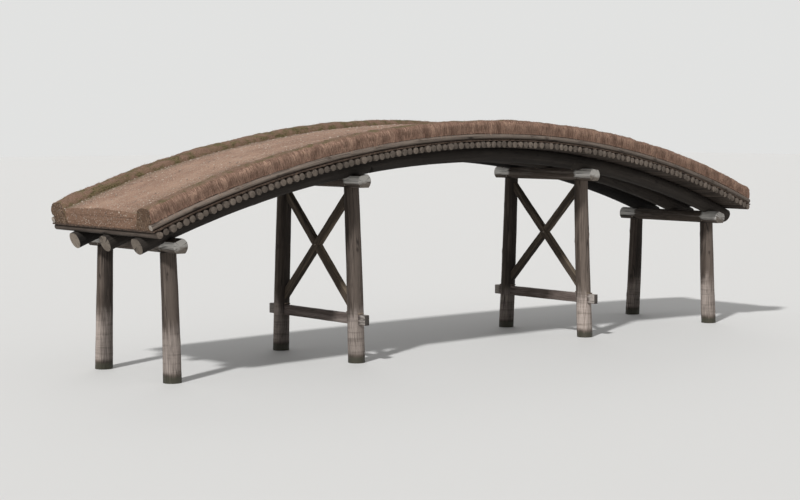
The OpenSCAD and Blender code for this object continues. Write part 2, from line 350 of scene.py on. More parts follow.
class Finish:
    """A material or a world in the making."""

    def __init__(self, name, kind=bpy.data.materials):
        self.made = kind.new(name)
        self.made.use_nodes = True
        self.tree = self.made.node_tree
        self.tree.nodes.clear()
        self.colour = None

    def node(self, kind, settings=None, inputs=None, output=0):
        """Adds a node of a type, with its settings first, then the values or links of its sockets."""
        made = self.tree.nodes.new("ShaderNode" + kind)
        for name, value in (settings or {}).items():
            setattr(made, name, value)
        for key, value in (inputs or {}).items():
            if isinstance(value, Value):
                self.tree.links.new(value.socket, made.inputs[key])
            else:
                made.inputs[key].default_value = value
        return Value(self, made.outputs[output]) if made.outputs else None

    def place(self):
        return self.node("TexCoord", output="Object")

    def normal(self):
        return self.node("NewGeometry", output="Normal")

    def layer(self, name, output="Fac"):
        return self.node("Attribute", {"attribute_name": name}, output=output)

    def parts(self, vector, axes="XYZ"):
        return [self.node("SeparateXYZ", inputs={0: vector}, output=axis) for axis in axes]

    def vector(self, x, y, z):
        return self.node("CombineXYZ", inputs={0: x, 1: y, 2: z})

    def stretch(self, vector, x, y, z):
        return self.node("VectorMath", {"operation": "MULTIPLY"}, {0: vector, 1: (x, y, z)})

    def noise(self, vector, scale=1.0, detail=3.0, roughness=0.55, distortion=0.0):
        values = {"Vector": vector, "Scale": scale, "Detail": detail, "Roughness": roughness}
        return self.node("TexNoise", inputs={**values, "Distortion": distortion})

    def cells(self, vector, scale=1.0, feature="F1", output="Distance"):
        return self.node("TexVoronoi", {"feature": feature}, {"Vector": vector, "Scale": scale}, output)

    def pebbles(self, vector, scale):
        """Scattered stones: how far the nearest one's middle is, and a random number of its own."""
        chance = self.node("SeparateColor", inputs={0: self.cells(vector, scale, output="Color")})
        return self.cells(vector, scale), chance

    def mix(self, factor, a, b, blend="MIX"):
        """Mixes two colours, each a value or a plain red, green and blue."""
        a, b = ((*c, 1.0) if isinstance(c, tuple) else c for c in (a, b))
        settings = {"data_type": "RGBA", "blend_type": blend}
        return self.node("Mix", settings, {FACTOR: factor, COLOUR_A: a, COLOUR_B: b}, MIXED)

    def coat(self, colour, share):
        """Lays a share of another colour over the one there is."""
        self.colour = self.mix(share, self.colour, colour)

    def shade(self, factor):
        """Makes the colour lighter or darker by a factor."""
        self.colour = self.mix(1.0, self.colour, self.vector(factor, factor, factor), "MULTIPLY")

    def done(self, roughness, height, depth, specular=0.3):
        """Closes the material with its roughness and its relief, whose depth is in metres."""
        bump = self.node("Bump", inputs={"Strength": 1.0, "Distance": depth, "Height": height})
        looks = {"Base Color": self.colour, "Roughness": roughness, "Normal": bump}
        shader = self.node("BsdfPrincipled", inputs={**looks, "Specular IOR Level": specular})
        self.node("OutputMaterial", inputs={"Surface": shader})
        return self.made


# Pale grey of painted sunlight on the upper half of beam ends and tips
SUNLIT_PALE = (0.74, 0.72, 0.68)
SPLIT_DARK, END_SPLIT_DARK = (0.012, 0.009, 0.007), (0.02, 0.015, 0.012)
THIN_SILT, THICK_SILT = (0.26, 0.218, 0.19), (0.45, 0.385, 0.345)
WET_WOOD = (0.035, 0.035, 0.022)


def water_marks(m, fibres, streaks, patches):
    """The silt that water has left on a post, with tide marks, and how wet the foot still is."""
    x, y, z = m.parts(m.place())
    reach = z + (patches - 0.5) * 0.5 + (streaks - 0.5) * 0.5
    tides = m.noise(m.vector(x * 2, y * 2, z * 34), roughness=0.6)
    marks = (fibres * 0.5 + tides).step(0.5, 0.8) * 0.55 + 0.4
    silt = z.step(0.08, 0.15) * (1 - reach.step(0.48, 0.74)) * marks
    wet = 1 - (z + (streaks - 0.5) * 0.05 + (tides - 0.5) * 0.02).step(0.055, 0.105)
    return silt, wet


def timber(
    name, dark, middle, pale, checks=1.0, weathering_and_painted_sun=0.0, underside_shade_strength=0.55, sunlit_tips_from=None, sunlit_tip_colour=SUNLIT_PALE, water=False
):
    """Weathered timber: fibres and splits along the grain. Faces that look outward or up are paler, partly
    weathering and partly painted sunlight; faces that look inward or down are darker with painted shade. Past
    a given distance from the middle of the bridge, the upper half of a beam is paler still: painted sunlight."""
    m = Finish(name)
    grain = m.layer("grain", "Vector")
    knot = m.layer("knot")
    tone = m.layer("tone")
    fibres = m.noise(m.stretch(grain, 170, 170, 5), detail=4, roughness=0.65)
    streaks = m.noise(m.stretch(grain, 22, 22, 1.1))
    patches = m.noise(m.stretch(grain, 5, 5, 1.6), detail=2)
    splits = m.cells(m.stretch(grain, 26, 26, 0.85), feature="DISTANCE_TO_EDGE")
    split = (1 - splits.step(0.0, 0.05)) * patches.step(0.42, 0.62) * checks
    hairs = m.cells(m.stretch(grain, 88, 88, 2.4), feature="DISTANCE_TO_EDGE")
    hair = (1 - hairs.step(0.0, 0.09)) * streaks.step(0.4, 0.6) * checks
    m.colour = m.mix(fibres.step(0.3, 0.7), dark, middle)
    m.coat(pale, streaks.step(0.45, 0.75) * 0.6)
    facing_y, facing_z = m.parts(m.normal(), "YZ")
    (across,) = m.parts(m.place(), "Y")
    outward = facing_y * across.math("SIGN") + facing_z * 0.5 + (streaks - 0.5) * 1.2
    # Faces that look outward or up get paler: partly weathering, partly painted sunlight
    if weathering_and_painted_sun:
        m.coat(pale, outward.step(0.1, 0.9) * weathering_and_painted_sun)
    # Painted sunlight: past a given distance from the middle, the upper half of a beam is paler
    if sunlit_tips_from:
        past = (across.math("ABSOLUTE") + (streaks - 0.5) * 0.1).step(sunlit_tips_from, sunlit_tips_from + 0.06)
        upper = (facing_z + (fibres - 0.5) * 0.6).step(-0.45, -0.05)
        m.coat(sunlit_tip_colour, past * upper * 0.9)
    # Knots darken the wood, and so does the painted shade that the knot layer holds inside drying checks
    m.coat(dark, knot.step(0.25, 0.8) * 0.75)
    if water:
        silt, wet = water_marks(m, fibres, streaks, patches)
        m.coat(m.mix(fibres.step(0.3, 0.7), THIN_SILT, THICK_SILT), silt * 0.85)
    m.coat(dark, hair * 0.55)
    m.coat(SPLIT_DARK, split * 0.85)
    # Painted shade: faces that look inward or down are darker
    painted_underside_shade = (-0.25 - outward).step(0.0, 0.7)
    m.shade((tone * 0.5 + 0.75) * (1 - painted_underside_shade * underside_shade_strength))
    roughness = 0.78 + fibres * 0.15
    if water:
        m.coat(WET_WOOD, wet * 0.8)
        roughness = roughness - wet * 0.35
    relief = fibres * 0.4 + streaks * 0.3 - hair * 0.45 - split * 1.3 - knot.step(0.5, 0.9) * 0.3
    return m.done(roughness, relief, 0.004)


def end_grain(name, dark, pale, sunlit_half_colour=None):
    """A sawn log end: growth rings, splits open towards the rim, and at choice an upper half painted paler as
    sunlight.
    """
    m = Finish(name)
    grain = m.layer("grain", "Vector")
    tone = m.layer("tone")
    x, y, z = m.parts(grain)
    pith_x, pith_y = (0.5 - tone) * 0.024, -0.006
    x, y = x - pith_x, y - pith_y
    warp = m.noise(m.stretch(grain, 11, 11, 1))
    radius = (x * x + y * y).math("SQRT")
    years = m.noise(m.vector(radius * 60, 0.0, z), detail=1)
    rings = ((radius + (warp - 0.5) * 0.016) * 1250 + years * 9).math("SINE") * 0.5 + 0.5
    turn = m.vector(x / (radius + 0.002), y / (radius + 0.002), z)
    rays = m.noise(turn, scale=1.1, detail=0)
    open_by = 0.004 + radius * 0.14
    split = 1 - ((rays - 0.5).math("ABSOLUTE") / open_by).step(0.5, 1.3)
    fine_rays = m.noise(turn, scale=9, detail=1)
    speckle = m.noise(grain, scale=160)
    blotch = m.noise(grain, scale=22)
    m.colour = m.mix(rings * 0.32, pale, dark)
    m.coat(dark, fine_rays.step(0.5, 0.7) * 0.25)
    m.coat(dark, blotch.step(0.42, 0.7) * 0.45)
    m.coat(dark, speckle.step(0.5, 0.75) * 0.3)
    if sunlit_half_colour:
        # Painted sunlight on the upper half of the end
        upper = (x + (blotch - 0.5) * 0.07).step(-0.035, 0.02)
        m.coat(m.mix(rings * 0.3 + speckle * 0.2, sunlit_half_colour, pale), upper * 0.9)
    m.coat(END_SPLIT_DARK, split * 0.9)
    m.shade(tone * 0.55 + 0.7)
    return m.done(0.85, rings * -0.2 - split * 1.8 + speckle * 0.25 - blotch * 0.2, 0.002)


def hewn_face(name, dark, pale):
    """A face worked with an adze: shallow scallops across the grain."""
    m = Finish(name)
    grain = m.layer("grain", "Vector")
    fibres = m.noise(m.stretch(grain, 150, 150, 6), roughness=0.6)
    scallops = m.cells(m.stretch(grain, 9, 9, 22), feature="SMOOTH_F1")
    patches = m.noise(m.place(), scale=6, detail=2)
    m.colour = m.mix(fibres.step(0.35, 0.7), dark, pale)
    m.coat(dark, patches.step(0.5, 0.8) * 0.4)
    return m.done(0.85, scallops * 1.2 + fibres * 0.3, 0.004)


def bark_sheet():
    """Bark in long plates across the bridge, with dark furrows between them."""
    m = Finish("bark_sheet")
    place = m.place()
    plates = m.cells(m.stretch(place, 22, 7, 22), feature="DISTANCE_TO_EDGE")
    speckle = m.noise(place, scale=60, detail=4)
    m.colour = m.mix(speckle.step(0.35, 0.7), (0.035, 0.024, 0.018), (0.115, 0.075, 0.052))
    return m.done(0.92, plates.step(0.0, 0.2) * 0.8 + speckle * 0.6, 0.006)


def turf_skin():
    """Dry turf and moss, with fine rootlets that hang down the outer face."""
    m = Finish("turf_skin")
    place = m.place()
    x, across, z = m.parts(place)
    up = z - ARCH_Z
    along = x.math("ARCTAN2", up) * BARK_RADIUS
    height = (x * x + up * up).math("SQRT") - BARK_RADIUS
    hanging = m.noise(m.vector(along * 95, across * 9, height * 9), detail=4, roughness=0.6)
    clumps = m.noise(place, scale=7, detail=4, roughness=0.6)
    tufts = m.noise(place, scale=48, detail=4, roughness=0.7)
    grit = m.noise(place, scale=210, detail=2)
    (facing_y,) = m.parts(m.normal(), "Y")
    outward = (facing_y * across.math("SIGN")).step(0.15, 0.75)
    dry = m.mix(hanging.step(0.3, 0.72), (0.09, 0.05, 0.035), (0.35, 0.215, 0.158))
    moss = m.mix(tufts.step(0.35, 0.7), (0.062, 0.05, 0.022), (0.19, 0.15, 0.08))
    litter = m.mix(grit.step(0.35, 0.7), (0.125, 0.075, 0.052), (0.35, 0.228, 0.162))
    top = m.mix(clumps.step(0.42, 0.62), litter, moss)
    side = m.mix((clumps - 0.08).step(0.5, 0.7) * 0.5, dry, moss)
    m.colour = m.mix(outward, top, side)
    m.shade(clumps * 0.6 + 0.7)
    relief = (tufts + grit * 0.4) * (1 - outward) + (hanging * 1.2 + grit * 0.2) * outward
    return m.done(0.95, relief, 0.012, specular=0.15)


# Gravel of three sizes: stones to a metre, the share of them that show, and a shift
PATH_GRAVEL = (34, 0.34, 3.0), (78, 0.5, 7.0), (170, 0.6, 11.0)


def earth_skin():
    """Beaten pinkish earth, smooth and pale in the middle, with gravel and damp soil at the edges."""
    m = Finish("earth_skin")
    place = m.place()
    (across,) = m.parts(place, "Y")
    broad = m.noise(place, scale=1.9, detail=4, roughness=0.6)
    blotch = m.noise(place, scale=9, detail=4, roughness=0.65)
    fine = m.noise(place, scale=140, detail=4, roughness=0.75)
    aside = across.math("ABSOLUTE")
    edge = (aside + (blotch - 0.5) * 0.35).step(0.38, 0.74)
    m.colour = m.mix(broad.step(0.3, 0.7), (0.25, 0.15, 0.104), (0.37, 0.242, 0.172))
    m.coat((0.21, 0.125, 0.086), blotch.step(0.45, 0.75) * 0.45)
    m.coat((0.15, 0.097, 0.064), edge * 0.55)
    m.coat((0.155, 0.094, 0.064), fine.step(0.4, 0.75) * 0.6)
    relief = fine * 0.35 + blotch * 0.8
    for scale, share, shift in PATH_GRAVEL:
        spot = m.node("VectorMath", {"operation": "ADD"}, {0: place, 1: (shift, shift, shift)})
        gravel, tint = m.pebbles(spot, scale)
        chosen = (tint + (edge - 0.5) * 0.3).step(1 - share - 0.05, 1 - share + 0.05)
        stone = (1 - gravel.step(0.22, 0.42)) * chosen
        stones = m.mix(tint.step(0.4, 1.0), (0.19, 0.138, 0.112), (0.52, 0.43, 0.35))
        m.coat(stones, stone * 0.85)
        relief = relief + stone * (30 / scale)
    moss = (aside + (broad - 0.5) * 0.5 + (fine - 0.5) * 0.25).step(0.66, 0.82)
    m.coat((0.105, 0.095, 0.045), moss * 0.6)
    return m.done(0.93, relief, 0.008, specular=0.2)


def cut_soil(name, dark, pale, stones, fibrous):
    """Soil broken open: crumbs, buried stones and torn roots."""
    m = Finish(name)
    place = m.place()
    crumbs = m.noise(place, scale=55, detail=5, roughness=0.75)
    layers = m.noise(m.stretch(place, 5, 1.5, 38), roughness=0.6)
    roots = m.noise(m.stretch(place, 60, 60, 9), distortion=1.2)
    gravel, tint = m.pebbles(place, 38)
    stone = (1 - gravel.step(0.2, 0.4)) * tint.step(0.5, 0.6)
    m.colour = m.mix(crumbs.step(0.3, 0.7), dark, pale)
    m.coat(dark, layers.step(0.45, 0.7) * 0.5)
    m.coat((0.27, 0.2, 0.14), roots.step(0.56, 0.66) * fibrous)
    m.coat(stones, stone * 0.8)
    return m.done(0.95, crumbs * 0.9 + stone * 0.6 + roots * fibrous * 0.4, 0.014, specular=0.15)


def plain_stuff(name, dark, pale):
    """Dry grass or small stones, each lighter or darker by its tone layer."""
    m = Finish(name)
    mottle = m.noise(m.place(), scale=40)
    m.colour = m.mix((m.layer("tone") * 0.75 + mottle * 0.35).step(0.1, 0.95), dark, pale)
    return m.done(0.9, mottle, 0.001, specular=0.2)


POST_SKIN = timber(
    "post_timber", (0.03, 0.022, 0.017), (0.082, 0.062, 0.049), (0.172, 0.138, 0.115), weathering_and_painted_sun=0.5, water=True
)
CAP_SKIN = timber(
    "cap_timber", (0.038, 0.028, 0.022), (0.1, 0.078, 0.063), (0.25, 0.218, 0.19), weathering_and_painted_sun=0.6, underside_shade_strength=0.7,
    sunlit_tips_from=0.64
)
# Darker than the other timbers: painted shade, as the girders lie in the shade of the deck
GIRDER_SHADED_SKIN = timber(
    "girder_timber", (0.011, 0.0085, 0.007), (0.03, 0.024, 0.019), (0.068, 0.056, 0.047), weathering_and_painted_sun=0.2,
    underside_shade_strength=0.7
)
# Paler than the braces: painted sunlight on the tie
TIE_SUNLIT_SKIN = timber(
    "tie_timber_painted_sun", (0.048, 0.036, 0.03), (0.145, 0.113, 0.1), (0.32, 0.268, 0.24), weathering_and_painted_sun=0.6,
    sunlit_tips_from=0.88, sunlit_tip_colour=(0.37, 0.335, 0.305)
)
BRACE_SKIN = timber(
    "brace_timber", (0.028, 0.02, 0.014), (0.082, 0.061, 0.043), (0.23, 0.18, 0.128), weathering_and_painted_sun=0.6
)
DECK_SKIN = timber(
    "deck_timber", (0.027, 0.02, 0.016), (0.067, 0.051, 0.04), (0.152, 0.122, 0.099), underside_shade_strength=0.7
)
POLE_SKIN = timber(
    "pole_timber", (0.06, 0.044, 0.034), (0.145, 0.112, 0.09), (0.26, 0.216, 0.18), weathering_and_painted_sun=0.45
)
WEDGE_SKIN = timber("wedge_timber", (0.1, 0.075, 0.055), (0.19, 0.15, 0.115), (0.32, 0.27, 0.22), checks=0.3)
POST_END = end_grain("post_end", (0.1, 0.08, 0.065), (0.26, 0.22, 0.19))
CAP_END = end_grain("cap_end", (0.1, 0.082, 0.068), (0.22, 0.19, 0.16), sunlit_half_colour=SUNLIT_PALE)
GIRDER_END = end_grain("girder_end", (0.09, 0.07, 0.055), (0.22, 0.185, 0.15))
DECK_END = end_grain("deck_end", (0.056, 0.044, 0.035), (0.17, 0.138, 0.112))
# Paler than the other log ends: painted sunlight on the tie's ends
TIE_SUNLIT_END = end_grain("tie_end_painted_sun", (0.3, 0.265, 0.235), (0.62, 0.58, 0.53))
POLE_END = end_grain("pole_end", (0.15, 0.125, 0.1), (0.34, 0.3, 0.26))
HEWN_SKIN = hewn_face("hewn_face", (0.05, 0.04, 0.032), (0.16, 0.135, 0.11))
BARK_SKIN = bark_sheet()
TURF_SKIN = turf_skin()
EARTH_SKIN = earth_skin()
SOIL_CUT = cut_soil("turf_cut", (0.052, 0.032, 0.021), (0.155, 0.098, 0.064), (0.26, 0.205, 0.165), 0.8)
EARTH_CUT = cut_soil("earth_cut", (0.115, 0.068, 0.046), (0.26, 0.162, 0.112), (0.42, 0.34, 0.28), 0.15)
BLADE_SKIN = plain_stuff("dry_blades", (0.1, 0.058, 0.041), (0.48, 0.318, 0.232))
PEBBLE_SKIN = plain_stuff("pebbles", (0.15, 0.108, 0.086), (0.48, 0.4, 0.33))


# Posts

POST_TWIST = 0.3


def add_post(seed, end, bent, side):
    """A round post, as thick at its foot and its head as the CAD one."""
    node = f"{end}_{bent}_{side}_post"
    head_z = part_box(f"{end}_{bent}_cap_beam")[0].z
    foot, foot_r = slice_of(node, 0)
    head, head_r = slice_of(node, head_z)
    rings = round(head_z / POST_RING)
    twist = POST_TWIST * math.sin(seed * 2.4)
    log = Log(
        seed, head_z, foot_r, head_r, POST_SIDES, rings,
        lump=0.03, knots=7, bow=0.006, rim=0, checks=5, twist=twist
    )

    def stand(p):
        middle = foot.lerp(head, p.z / head_z)
        return Vector((middle.x + p.x, middle.y + p.y, p.z))

    finish_piece("post_" + node, log.made(stand), [POST_SKIN, POST_END], [node])


# Here and below, the plain number in a call is a seed, which gives each piece a form of its own
for i, (end, bent, side) in enumerate(product(ENDS, BENTS, SIDES)):
    add_post(10 + i, end, bent, side)


# Cap beams

CAP_TAPER = 0.985


def add_cap_beam(seed, end, bent):
    """A round beam with a hewn flat on top, square to the arch, and one below, on the post heads."""
    node = f"{end}_{bent}_cap_beam"
    low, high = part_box(node)
    radius = (high.x - low.x) / 2
    middle = Vector(((low.x + high.x) / 2, 0, low.z + CAP_FLAT))
    out = (middle - Vector((0, 0, ARCH_Z))).normalized()
    length = high.y - low.y
    rings = round(length / BEAM_RING)
    log = Log(
        seed, length, radius, radius * CAP_TAPER, BEAM_SIDES, rings, lump=0.025, knots=5, rim=0.008, checks=5
    )

    def lay(p):
        return middle + out * p.x + ACROSS.cross(out) * p.y + ACROSS * (p.z - length / 2)

    bm = log.made(lay)
    hew(bm, middle + out * CAP_FLAT, out, 2)
    hew(bm, Vector((0, 0, low.z)), Vector((0, 0, -1)), 2)
    finish_piece("beam_" + node, bm, [CAP_SKIN, CAP_END, HEWN_SKIN], [node])


for i, (end, bent) in enumerate(product(ENDS, BENTS)):
    add_cap_beam(30 + i, end, bent)


# Sawn timbers of the bents

# How uneven their faces are, and the least turn between faces that makes an edge
UNEVEN = 0.0022
EDGE_TURN = math.radians(20)


def squared_timber(node, name, axis, finishes, seed, edge=0.005):
    """A copy of a squared CAD timber with worn edges, uneven faces, and its grain along an axis."""
    bm, layers = welded(node)
    bmesh.ops.dissolve_limit(bm, angle_limit=math.radians(1), verts=bm.verts[:], edges=bm.edges[:])
    arrises = [e for e in bm.edges if e.calc_face_angle(0) > EDGE_TURN]
    rounded(bm, arrises, edge)
    chance = random.Random(seed)
    shift = chance.uniform(-40, 40)
    tone = chance.random()
    axis = axis.normalized()
    wide = axis.orthogonal().normalized()
    deep = axis.cross(wide)
    first, *_, last = sorted(v.co.dot(axis) for v in bm.verts)
    slices = round((last - first) / BEAM_RING)
    for i in range(1, slices):
        cut(bm, axis * (first + (last - first) * i / slices), axis)
    bm.normal_update()
    for v in bm.verts:
        v[layers["grain"]] = (v.co.dot(wide) + shift, v.co.dot(deep), v.co.dot(axis))
        v[layers["tone"]] = tone
        v.co += v.normal * UNEVEN * noise(v.co * 9 + Vector((shift, 0, 0)))
    for face in bm.faces:
        is_end = abs(face.normal.dot(axis)) > 0.8
        face.material_index = int(is_end and len(finishes) > 1)
    finish_piece(name, bm, finishes, [node])


for e, end in enumerate(ENDS):
    beam, wedges = f"{end}_tie_beam", f"{end}_tie_wedges"
    squared_timber(beam, f"tie_{end}", ACROSS, [TIE_SUNLIT_SKIN, TIE_SUNLIT_END], 50 + e, edge=0.006)
    squared_timber(wedges, f"wedges_{end}", ACROSS, [WEDGE_SKIN], 55 + e, edge=0.002)
    for s, side in enumerate(SIDES):
        node = f"{end}_brace_to_{side}_head"
        low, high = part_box(node)
        axis = Vector((0, SIDES[side] * (high.y - low.y), high.z - low.z))
        squared_timber(node, f"brace_{end}_{side}", axis, [BRACE_SKIN], 60 + 2 * e + s)


# Girders

girder_low, girder_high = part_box("near_girder_crown")
GIRDER_TOP_R = girder_high.z - ARCH_Z
GIRDER_D = girder_high.y - girder_low.y
GIRDER_MID_R = GIRDER_TOP_R + GIRDER_HEWN - GIRDER_D / 2
GIRDER_LOW_R = GIRDER_MID_R - GIRDER_D / 2
LAP_R = (GIRDER_TOP_R + GIRDER_LOW_R) / 2
LAP_OUTER = math.asin(girder_high.x / GIRDER_TOP_R)
LAP_INNER = math.asin(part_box("near_girder_right")[0].x / GIRDER_LOW_R)
GIRDER_END_ANGLE = arch_angle(max(points_of("near_girder_right"), key=lambda p: p.x))
STEP = 0.0008


def girder_stations(marks, spacing):
    """Places along a girder, evenly spaced between marks, with two close together at each inner mark."""
    places = [marks[0]]
    for start, stop in zip(marks, marks[1:]):
        count = max(1, round((stop - start) / spacing))
        places += [start + (stop - start) * i / count for i in range(1, count)]
        places += [stop - STEP, stop] if stop != marks[-1] else [stop]
    return places


def add_girder(seed, line, end=None):
    """A curved girder log. With no end given, it is the crown log."""
    node = f"{line}_girder_{end or 'crown'}"
    low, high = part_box(node)
    y = (low.y + high.y) / 2
    if end:
        angles = [LAP_INNER, LAP_OUTER, GIRDER_END_ANGLE]
    else:
        angles = [-LAP_OUTER, -LAP_INNER, LAP_INNER, LAP_OUTER]
    marks = [a * GIRDER_MID_R for a in angles]
    stations = [s - marks[0] for s in girder_stations(marks, BEAM_RING)]
    length = marks[-1] - marks[0]
    log = Log(seed, length, GIRDER_D / 2, GIRDER_D / 2, BEAM_SIDES, len(stations) - 2, knots=6, rim=0)
    turn = ENDS[end] if end else 1

    def bend(p):
        place = p.z + marks[0]
        out = min(p.x, GIRDER_TOP_R - GIRDER_MID_R)
        if end and place < marks[1] - STEP / 2:
            out = min(out, LAP_R - GIRDER_MID_R)
        if not end and abs(place) > marks[2] - STEP / 2:
            out = max(out, LAP_R - GIRDER_MID_R)
        return on_arch(turn * place / GIRDER_MID_R, GIRDER_MID_R + out, y + p.y)

    finish_piece("log_" + node, log.made(bend, stations), [GIRDER_SHADED_SKIN, GIRDER_END], [node])


for i, line in enumerate(LINES):
    add_girder(70 + i, line)
    for e, end in enumerate(ENDS):
        add_girder(74 + 2 * i + e, line, end)


# Deck logs

DECK_TAPER = 0.94


def loose_parts(node):
    """The points of each separate solid in a CAD node."""
    bm = welded(node)[0]
    waiting = set(bm.verts)
    parts = []
    while waiting:
        part = fresh = {waiting.pop()}
        while fresh:
            fresh = {e.other_vert(v) for v in fresh for e in v.link_edges} - part
            part = part | fresh
        waiting -= part
        parts.append([v.co.copy() for v in part])
    bm.free()
    return parts


def add_deck_logs(seed, row):
    """A row of logs across the girders, with their thick ends on either side by turns."""
    node = f"deck_logs_{row}"
    logs = []
    parts = sorted(loose_parts(node), key=lambda part: sum(p.x for p in part) / len(part))
    for i, part in enumerate(parts):
        low, high = corners(part)
        radius = (high.x - low.x) / 2
        thick_end_near = (i + seed) % 2
        ends_r = (radius, radius * DECK_TAPER) if thick_end_near else (radius * DECK_TAPER, radius)
        log = Log(
            seed * 200 + i, high.y - low.y, *ends_r, DECK_SIDES, DECK_RINGS, lump=0.035, bow=0.002, rim=0.004
        )
        turn = Matrix.Rotation(log.bow_turn, 3, "Z")

        def lay(p, low=low, high=high, turn=turn):
            q = turn @ p
            return Vector(((low.x + high.x) / 2 + q.x, low.y + p.z, (low.z + high.z) / 2 + q.y))

        logs.append(log.made(lay))
    finish_piece("logs_" + node, joined(logs), [DECK_SKIN, DECK_END], [node])


for i, row in enumerate(("left", "crown", "right")):
    add_deck_logs(3 + i, row)


# Bark, turf and earth, each an outline swept along the arch

SWEEP_STEPS = 60
END_RINGS, END_RING = 3, 0.018

# At the broken ends: how far in they crumble, how deep the hollows of clods are, and how far the top slips
SLIP_REACH = 0.22
CLOD = 0.022
TURF_SLIP, EARTH_SLIP = 0.045, 0.065

# Relief in layers, from broad to fine: bumps to a metre, their height, and a shift
TURF_RELIEF = (5.5, 0.009, 2), (15.0, 0.006, 5), (45.0, 0.0035, 9)
PATH_RELIEF = (1.6, 0.01, 3), (9.0, 0.005, 7), (26.0, 0.002, 8)
BARK_FRAY = ((23.0, 0.022, 2),)

# The two worn tracks in the path: their depth, distance from its middle and width
TRACK_DEPTH, TRACK_Y, TRACK_WIDTH = 0.01, 0.22, 0.16


def swept(outline, cuts):
    """A closed outline of (height above the bark, distance across) swept along the cover."""
    bm = new_mesh()[0]
    verts = [bm.verts.new(on_arch(-COVER_ANGLE, BARK_RADIUS + h, y)) for h, y in outline]
    edges = [bm.edges.new((a, b)) for a, b in zip(verts, verts[1:] + verts[:1])]
    bmesh.ops.spin(
        bm, geom=verts + edges, cent=(0, 0, ARCH_Z), axis=ACROSS, angle=2 * COVER_ANGLE, steps=SWEEP_STEPS,
        use_merge=False, use_duplicate=False
    )
    angles = {v: arch_angle(v.co) for v in bm.verts}
    half_step = COVER_ANGLE / SWEEP_STEPS
    lengthwise = [e for e in bm.edges if abs(angles[e.verts[0]] - angles[e.verts[1]]) > half_step]
    bmesh.ops.subdivide_edges(bm, edges=lengthwise, cuts=cuts, use_grid_fill=True)
    for cap in bmesh.ops.edgeloop_fill(bm, edges=[e for e in bm.edges if e.is_boundary])["faces"]:
        cap.material_index = 1
    bmesh.ops.recalc_face_normals(bm, faces=bm.faces[:])
    return bm


def crumble_ends(bm, top, slip):
    """Breaks the cut ends of the cover back: the higher a point, the further it has slipped."""
    for cap in [f for f in bm.faces if f.material_index == 1]:
        for _ in range(END_RINGS):
            bmesh.ops.inset_region(bm, faces=[cap], thickness=END_RING)
        bmesh.ops.triangulate(bm, faces=[cap])
    for v in bm.verts:
        angle = arch_angle(v.co)
        radius = math.hypot(v.co.x, v.co.z - ARCH_Z)
        to_end = (COVER_ANGLE - abs(angle)) * BARK_RADIUS
        share = max(0, 1 - to_end / SLIP_REACH)
        height = max(0, radius - BARK_RADIUS) / top
        clods = 0.5 + 0.5 * noise(v.co * 16) + 0.35 * noise(v.co * 55)
        pull = share * (slip * height ** 1.5 + CLOD * max(0, clods))
        v.co = on_arch(math.copysign(abs(angle) - pull / BARK_RADIUS, angle), radius, v.co.y)


def even_outline(points, spacing):
    """The outline with extra points, none further from the next than the spacing."""
    result = []
    for (h0, y0), (h1, y1) in zip(points, points[1:] + points[:1]):
        count = max(1, math.ceil(math.hypot(h1 - h0, y1 - y0) / spacing))
        result += [(h0 + (h1 - h0) * i / count, y0 + (y1 - y0) * i / count) for i in range(count)]
    return result


def arc(centre, radius, start, stop, steps=5):
    """Points along an arc, from one turn to another in degrees."""
    turns = [math.radians(start + (stop - start) * i / steps) for i in range(steps + 1)]
    return [(centre[0] + radius * math.cos(t), centre[1] + radius * math.sin(t)) for t in turns]


TURF_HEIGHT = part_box("near_turf_edge")[1].z - bark_crown
TURF_OUTER_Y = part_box("far_turf_edge")[1].y
TURF_INNER_Y = TURF_OUTER_Y - TURF_WIDTH
POLE_LOW, POLE_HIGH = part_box("far_edge_pole")
POLE_D = POLE_HIGH.y - POLE_LOW.y
POLE_Y = (POLE_LOW.y + POLE_HIGH.y) / 2
EARTH_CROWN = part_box("earth_path")[1].z - bark_crown
SEAT = 0.0003


def turf_face_y(height):
    return TURF_INNER_Y - TURF_SLOPE * (TURF_HEIGHT - height)


def ruffle(p, layers):
    """How far a point stands out of the even surface, from layers of relief."""
    swell = 0
    for scale, height, shift in layers:
        broad = noise(p * scale + Vector((shift, shift, shift)))
        swell += height * (broad + 0.4 * noise(p * scale * 2.7))
    return swell


def add_turf(side):
    """A turf shoulder, which lies on the bark and over the back of the edge pole."""
    facing = SIDES[side]
    inner_rise = TURF_INNER_R * (math.hypot(1, TURF_SLOPE) - TURF_SLOPE)
    lean = math.degrees(math.atan(TURF_SLOPE))
    points = [
        (SEAT, turf_face_y(0)), (SEAT, POLE_Y - POLE_D * 0.4), (POLE_D * 0.75, POLE_Y - POLE_D * 0.36),
        (POLE_D * 1.01, POLE_Y), (POLE_D * 1.01, TURF_OUTER_Y),
    ]
    points += arc((TURF_HEIGHT - TURF_OUTER_R, TURF_OUTER_Y - TURF_OUTER_R), TURF_OUTER_R, 90, 0)
    points += arc((TURF_HEIGHT - TURF_INNER_R, TURF_INNER_Y + inner_rise), TURF_INNER_R, 0, lean - 90)
    outline = [(h, facing * y) for h, y in even_outline(points, spacing=0.022)]
    bm = swept(outline, cuts=8)
    crumble_ends(bm, TURF_HEIGHT, TURF_SLIP)
    bm.normal_update()
    for v in bm.verts:
        height = math.hypot(v.co.x, v.co.z - ARCH_Z) - BARK_RADIUS
        free = clamped((height - 0.03) / 0.06) * clamped((abs(v.co.y) - turf_face_y(height) - 0.01) / 0.04)
        swell = ruffle(v.co, ((1.7, 0.012, facing), *TURF_RELIEF))
        v.co += v.normal * (swell - 0.004) * free
    surface = BVHTree.FromBMesh(bm)
    finish_piece(f"turf_{side}", bm, [TURF_SKIN, SOIL_CUT], [f"{side}_turf_edge"], 60)
    return surface


